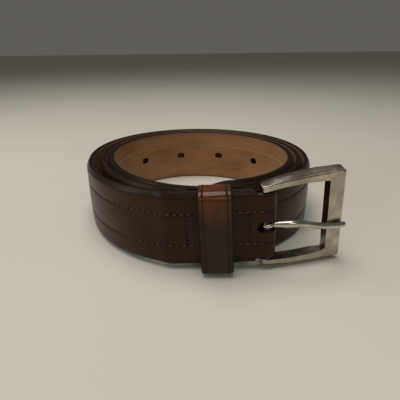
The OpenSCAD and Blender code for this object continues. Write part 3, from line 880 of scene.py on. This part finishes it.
def keeper_ply(name, face, low, widths, edge, materials):
    """One ply of the keeper, from low to face, with edge's points (x, t) up its cut edge."""
    half_stitches = np.arange(0, KEEPER_COUNT * 2 + 1) * KEEPER_PITCH / 2
    lengths = np.unique(np.concatenate([RING_S, half_stitches]))
    lengths = lengths[np.concatenate([[True], np.diff(lengths) > 0.05])]
    loop = [(x, None) for x in widths] + edge + [(x, low) for x in widths[::-1]]
    loop += [(-x, t) for x, t in reversed(edge)]
    s, x = np.meshgrid(lengths, np.array([a for a, _ in loop]), indexing="ij")
    t = np.empty_like(s)
    for j, (_, kind) in enumerate(loop):
        t[:, j] = face(s[:, j], x[:, j]) if kind is None else kind
    mesh = Mesh()
    ids = mesh.add(keeper_place(s, x, t), np.stack([s, x, t], -1)).reshape(s.shape)
    n, m = len(loop), len(widths)
    kinds = [0 if j < m - 1 or m + len(edge) <= j < 2 * m + len(edge) - 1 else 1 for j in range(n)]
    mesh.capped(ids, kinds, 1)
    return mesh.make(name, materials)


def keeper_stitches(name, side, outer, material):
    radius = 0.24 if outer else 0.2
    starts = np.arange(KEEPER_COUNT)[:, None] * KEEPER_PITCH
    s = starts + THREAD_END + RINGS * (KEEPER_PITCH - 2 * THREAD_END)
    x = side * KEEPER_SEAM_X + 0.08 * (RINGS - 0.5) + 0 * s
    if outer:
        t = keeper_face(starts + KEEPER_PITCH / 2 + 0 * s, x) + radius * RING_LIFT
    else:
        t = 0.12 - 0.4 * radius * RING_LIFT + 0 * s
    centres = keeper_place(s, x, t)
    _, _, ny, nz = ring_at(s)
    normals = end_turned(np.stack([0 * ny, ny, nz], -1))
    sides = np.broadcast_to(end_turned([1.0, 0, 0]), centres.shape)
    return sewn(name, material, centres, normals, sides, radius, 0.8, np.stack([s, x, t], -1))


# Buckle.
def buckle_point(p):
    """A point of the buckle's own frame, about the heel bar, in the belt's frame."""
    p = np.asarray(p, float)
    c, s = cosd(FRAME_YAW), sind(FRAME_YAW)
    x = BAR_X + p[..., 0] * c - p[..., 1] * s
    y = BAR_Y + p[..., 0] * s + p[..., 1] * c
    return end_point(np.stack([x, y, p[..., 2]], -1))


def rounded(points, radii, steps=4):
    """A closed outline with its corners turned into arcs."""
    result = []
    n = len(points)
    for k in range(n):
        before, here, after = (np.array(points[(k + d) % n], float) for d in (-1, 0, 1))
        a, b = before - here, after - here
        la, lb = np.linalg.norm(a), np.linalg.norm(b)
        r = min(radii[k], 0.45 * la, 0.45 * lb)
        p, q = here + a / la * r, here + b / lb * r
        for i in range(steps + 1):
            u = i / steps
            result.append((1 - u) ** 2 * p + 2 * u * (1 - u) * here + u * u * q)
    return np.array(result)


def window_z(x):
    return WINDOW_Z - WINDOW_BOW + np.sqrt(WINDOW_BOW**2 - (x - BOW_X) ** 2)


def arm_z(x):
    return FRAME_Z - ARM_BOW + np.sqrt(ARM_BOW**2 - (x - ARM_X) ** 2)


def frame_rails():
    """Inner and outer edge points (x, z) of the frame's upper half, from heel to front bar."""
    inner, outer = [], []
    inner_x, window_r = FRAME_LEN - FRONT_BAR_W, 0.5
    side_end, corner_end = 0.3, 0.72
    heel = [-HEEL_R * math.cos(math.radians(a)) for a in (8, 18, 30, 45, 60, 75, 90)]
    for x in heel + [1.5, 3.5, 6, 8.5, 11, 14, 17, 20, 22.4, inner_x - window_r]:
        inner.append((x, window_z(x)))
        outer.append((x, arm_z(x)))
    corner_z = window_z(inner_x) - window_r
    turn_x = FRAME_LEN - CORNER_R
    turn_z = arm_z(turn_x) - CORNER_R
    for k in range(1, 20):
        share = k / 20
        inner.append((inner_x - window_r + window_r * sind(90 * share),
                      corner_z + window_r * cosd(90 * share)))
        if share <= side_end:
            x = inner_x - window_r + (turn_x - inner_x + window_r) * share / side_end
            outer.append((x, arm_z(x)))
        elif share <= corner_end:
            angle = 90 - 90 * (share - side_end) / (corner_end - side_end)
            outer.append((turn_x + CORNER_R * cosd(angle), turn_z + CORNER_R * sind(angle)))
        else:
            z = turn_z + (corner_z - 0.3 - turn_z) * (share - corner_end) / (1 - corner_end)
            outer.append((FRAME_LEN, z))
    for z in (13.2, 11.5, 9.5, 7, 4.5, 2.2, 0):
        inner.append((inner_x, z))
        outer.append((FRAME_LEN, z))
    return np.array(inner, float), np.array(outer, float)


def frame_depth(x):
    """Front and back face of the frame at x."""
    if x < 0:
        back = math.sqrt(max(HEEL_R**2 - x * x, 0.04))
        corner = max(0.0, HEEL_CORNER - HEEL_R - x)
        front = HEEL_R - HEEL_CORNER + math.sqrt(max(HEEL_CORNER**2 - corner**2, 0.04))
        return -front, back
    swell = 0.4 * max(0, 1 - x / FRAME_LEN)
    front = FRONT_FACE - swell
    arm_back = FRONT_FACE + ARM_D + swell
    share = float(smooth(np.array((x - FRAME_LEN + FRONT_BAR_W + 3.5) / 3.5)))
    return front, arm_back + (BAR_BACK - arm_back) * share


def buckle_frame(material):
    """The cast frame. Each section runs from the window over the front and bevel and back."""
    inner, outer = frame_rails()
    inner = np.concatenate([inner, inner[-2::-1] * [1, -1]])
    outer = np.concatenate([outer, outer[-2::-1] * [1, -1]])
    rows = []
    for a, b in zip(inner, outer):
        wide = np.linalg.norm(b - a)
        along = (b - a) / wide
        front, back = frame_depth((a[0] + b[0]) / 2 if abs(b[1]) > 14 else b[0])
        deep = min(1, (back - front) / 4)
        on_bar = float(np.clip((b[0] - 27) / 2.5, 0, 1) * np.clip((19.4 - abs(b[1])) / 1.6, 0, 1))
        drop = RIDGE_DROP * (1 - 0.75 * on_bar) * min(1, (wide - 1.2) / 3)
        narrow = float(np.clip((wide - 1.5) / 3, 0.4, 1))
        chamfer = (0.45 - 0.15 * on_bar) * narrow
        step = 0.02 + 0.5 * (1 - on_bar) * deep
        outline = rounded(
            [(0, front), (wide - drop - chamfer - 0.6 * narrow, front),
             (wide - drop - chamfer - 0.35 * narrow, front + step),
             (wide - drop - chamfer + 0.1 * narrow, front + step),
             (wide - drop - 0.05, front + 0.2 * deep), (wide - drop + 0.1, front + 0.8 * deep),
             (wide, front + (CREST_Y - FRONT_FACE) * deep), (wide - 0.5 * deep, back), (0, back)],
            [0.25, 0.08, 0.08, 0.1, 0.1, 0.15, 1.4 * deep, 0.9 * deep, 0.3])
        rows.append([(a[0] + along[0] * q, y, a[1] + along[1] * q) for q, y in outline])
    rows = np.array(rows, float)
    mesh = Mesh()
    mesh.capped(mesh.add(buckle_point(rows), rows).reshape(rows.shape[:2]))
    casting = mesh.make("buckle_frame_casting", [material], sharp=32)
    casting.modifiers.new("flat_faces", "WEIGHTED_NORMAL").keep_sharp = True
    return casting


def prong_line(x):
    """The prong's middle line (y, z): a wire arched forward that rests on the front bar."""
    start, arch = 1.2, 3.3
    rest = FRONT_FACE - PRONG_D / 2 - SINK
    rise = start + arch * smooth(x / 9.5)
    fall = (start + arch + rest) * smooth((x - 8.5) / 16)
    z = -PRONG_DROOP * smooth((x - 7) / 21) + 0.6 * bump(x, 9, 6)
    return fall - rise, z * smooth(x / 4)


def prong(material):
    """The prong: a tapering wire with a round tip, and the eye that turns on the heel bar."""
    x = np.linspace(1.9, FRAME_LEN + 0.05, 46)
    y, z = prong_line(x)
    centre = np.stack([x, y, z], 1)
    ahead = unit(np.gradient(centre, axis=0))
    side = unit(np.cross(ahead, [0, 0, 1.0]))
    up = np.cross(side, ahead)
    r = PRONG_D / 2 * (1 - 0.22 * np.clip((x - 6) / 24, 0, 1))
    r = r * (0.74 + 0.26 * smooth((x - 1.6) / 6))
    tip = np.clip((FRAME_LEN + 0.4 - x) / 1.1, 0.02, 1)
    r = r * np.sqrt(1 - (1 - tip) ** 2)
    angle = np.arange(0, 360, 18)[:, None]
    ring = sind(angle) * up[:, None] + 0.92 * cosd(angle) * side[:, None]
    rows = centre[:, None] + r[:, None, None] * ring
    mesh = Mesh()
    mesh.capped(mesh.add(buckle_point(rows), rows).reshape(rows.shape[:2]))
    arc = np.arange(-90, 91, 15)
    eye_r, eye_t, eye_half_z = 1.56, 1.2, 1.15
    eye = np.concatenate([np.stack([eye_r + eye_t * cosd(arc), eye_half_z * sind(arc)], 1),
                          [[eye_r, 0.6], [eye_r, -0.6]]])
    turn = np.arange(0, 360, 10)[:, None]
    x, z = eye.T
    ring = np.stack([x * cosd(turn), x * sind(turn), z + 0 * turn], -1)
    ids = mesh.add(buckle_point(ring), ring).reshape(ring.shape[:2])
    mesh.rings(ids, closed_along=True)
    return mesh.make("prong_wire", [material], sharp=40)


# Build the pieces.
GRAIN, BAND, EDGE = grain_leather(), burnished_band(), edge_paint()
LINING, KEEPER = lining_leather(), keeper_leather()
BROWN_THREAD = thread("brown_thread", (0.080, 0.045, 0.026), (0.155, 0.092, 0.055))
DARK_THREAD = thread("dark_thread", (0.030, 0.015, 0.009), (0.055, 0.031, 0.019))
TAN_THREAD = thread("tan_thread", (0.42, 0.30, 0.18), (0.60, 0.46, 0.30))
NICKEL = metal("nickel_plate", (0.37, 0.325, 0.255), (0.61, 0.55, 0.45), (0.17, 0.30), 0.35)
POLISHED = metal("polished_nickel", (0.52, 0.48, 0.42), (0.72, 0.67, 0.59), (0.16, 0.26), 0.2)
STEEL = metal("plated_steel", (0.42, 0.40, 0.36), (0.66, 0.63, 0.58), (0.22, 0.36), 0.3)


def flat_t(value):
    return lambda s, w: value + 0 * w


lining_end = path.of_front(NECK_X - 0.4)
grain = strap_layer(
    "strap_grain_leather", grid_lengths(0, path.end, TIP_LENGTHS + END_LENGTHS), face_t,
    flat_t(GRAIN_0), [(14.74, GRAIN_1 - EDGE_DROP), (14.93, GRAIN_1 - 1.1), (15.0, 1.76),
                      (14.98, 1.68), (14.9, GRAIN_0)],
    PRONG_HOLES + [FOLD_SLOT], [GRAIN, EDGE, BAND], FACE_WIDTHS, PLAIN_WIDTHS)
filler = strap_layer(
    "strap_filler_board", grid_lengths(0, lining_end, TIP_LENGTHS), flat_t(GRAIN_0),
    flat_t(LINING_T), [(14.92, GRAIN_0 - 0.02), (15.0, 1.4), (15.0, 1.0), (14.92, LINING_T + 0.02)],
    PRONG_HOLES, [EDGE, EDGE], PLAIN_WIDTHS, PLAIN_WIDTHS)
lining = strap_layer(
    "strap_lining_leather", grid_lengths(0, lining_end, TIP_LENGTHS), flat_t(LINING_T), lining_t,
    [(14.9, LINING_T - 0.02), (14.99, 0.65), (14.98, 0.5), (14.86, 0.33)],
    PRONG_HOLES, [LINING, EDGE], PLAIN_WIDTHS, LINING_WIDTHS)
for piece, node, finish in ((grain, "strap_grain", "grain_leather"),
                            (filler, "strap_filler", "filler_board"),
                            (lining, "strap_lining", "lining_leather")):
    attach(piece, "strap")
    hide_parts(node)

LONG_SEAMS = (("needle", ROW_END - 1, face_t, 1, 0.27, BROWN_THREAD, "brown_thread"),
              ("bobbin", path.join - 8, lining_t, -1, 0.25, TAN_THREAD, "tan_thread"))
for label, sign in (("upper", 1), ("lower", -1)):
    for kind, end, surface, outwards, radius, material, finish in LONG_SEAMS:
        piece = row_stitches(f"{label}_seam_{kind}_stitches", ROW_START + 1, end, sign * ROW_Z,
                             surface, outwards, radius, material)
        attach(piece, "strap")
        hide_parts(f"{label}_seam_{kind}_thread")

for label, x, knot in (("left", LEFT_ROW_X, True), ("right", RIGHT_ROW_X, False)):
    for kind, s_row in (("needle", path.of_front(x)), ("bobbin", path.of_back(x))):
        piece = cross_stitches(f"{label}_cross_seam_{kind}_stitches", s_row, face_t, DARK_THREAD,
                               knot and kind == "needle")
        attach(piece, "strap")
        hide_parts(f"{label}_cross_seam_{kind}_thread")

outer_widths = mirrored([1.5, 3.0, 3.8, 4.05, 4.18, 4.3, 4.42, 4.55, 4.8, 5.08, 5.25, 5.42, 5.65])
inner_widths = mirrored([2.0, 4.3, 5.6])
keeper_outer = keeper_ply(
    "keeper_outer_leather", keeper_face, KEEPER_LINING_T, outer_widths,
    [(5.86, KEEPER_TOP - 0.3), (5.97, KEEPER_TOP - 0.45), (6.0, 0.8), (5.97, 0.6), (5.9, 0.5)],
    [KEEPER, EDGE])
keeper_inner = keeper_ply(
    "keeper_inner_lining", flat_t(KEEPER_LINING_T - 0.02), 0.0, inner_widths,
    [(5.9, 0.47), (5.97, 0.3), (5.93, 0.1)], [EDGE, EDGE])
for piece, node, finish in ((keeper_outer, "keeper_grain", "keeper_leather"),
                            (keeper_inner, "keeper_lining", "filler_board")):
    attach(piece, "keeper")
    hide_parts(node)
for label, sign in (("left", -1), ("right", 1)):
    for kind in ("needle", "bobbin"):
        piece = keeper_stitches(f"keeper_{label}_{kind}_stitches", sign, kind == "needle", DARK_THREAD)
        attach(piece, "keeper")
        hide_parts(f"keeper_{label}_{kind}_thread")

casting = buckle_frame(NICKEL)
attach(casting, "buckle")
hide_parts("buckle_frame")
wire = prong(POLISHED)
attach(wire, "prong")
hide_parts("prong")
for node in ("heel_bar", "keeper_staple"):
    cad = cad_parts[node]
    cad.data.materials.clear()
    cad.data.materials.append(STEEL)

# Floor, light and camera.
bpy.ops.mesh.primitive_plane_add(size=30, location=(0, 0, 0))
floor = bpy.context.object
floor.name = "floor"
floor.data.materials.append(floor_material())


LIGHTS_AIM = Vector((0, 0, 0.02))


def softbox(name, place, size, watts, colour):
    light = bpy.data.lights.new(name, "AREA")
    light.shape = "RECTANGLE"
    light.size, light.size_y = size
    light.energy = watts
    light.color = colour
    lamp = bpy.data.objects.new(name, light)
    lamp.location = place
    lamp.rotation_euler = (LIGHTS_AIM - Vector(place)).to_track_quat("-Z", "Y").to_euler()
    scene.collection.objects.link(lamp)


softbox("overhead_softbox", (-0.10, -0.02, 0.75), (0.7, 0.5), 4.4, (1.0, 0.965, 0.90))
softbox("left_window", (-0.75, -0.20, 0.32), (0.4, 0.5), 1.2, (1.0, 0.97, 0.92))
softbox("front_fill", (0.25, -0.9, 0.55), (0.6, 0.3), 1.1, (1.0, 0.96, 0.90))

world = bpy.data.worlds.new("studio")
world.use_nodes = True
sky = world.node_tree.nodes["Background"].inputs
sky["Color"].default_value = (0.80, 0.76, 0.70, 1)
sky["Strength"].default_value = 0.14
scene.world = world

CAMERA_AT = np.array([6.32, -180.89, 78.64]) + ORIGIN
PITCH, ROLL = 22.78, -0.76
camera_data = bpy.data.cameras.new("camera")
camera_data.sensor_width, camera_data.lens = 36, 31.833
camera_data.clip_start = 0.005
camera = bpy.data.objects.new("camera", camera_data)
heading = Vector((-0.0349, 0.9994, 0)).normalized()
look = heading * math.cos(math.radians(PITCH)) - Vector((0, 0, math.sin(math.radians(PITCH))))
turned = look.to_track_quat("-Z", "Y").to_matrix().to_4x4()
camera.matrix_world = (Matrix.Translation(Vector(CAMERA_AT * MM)) @ turned
                       @ Matrix.Rotation(math.radians(ROLL), 4, "Z"))
scene.collection.objects.link(camera)
scene.camera = camera
scene.view_settings.view_transform = "Standard"
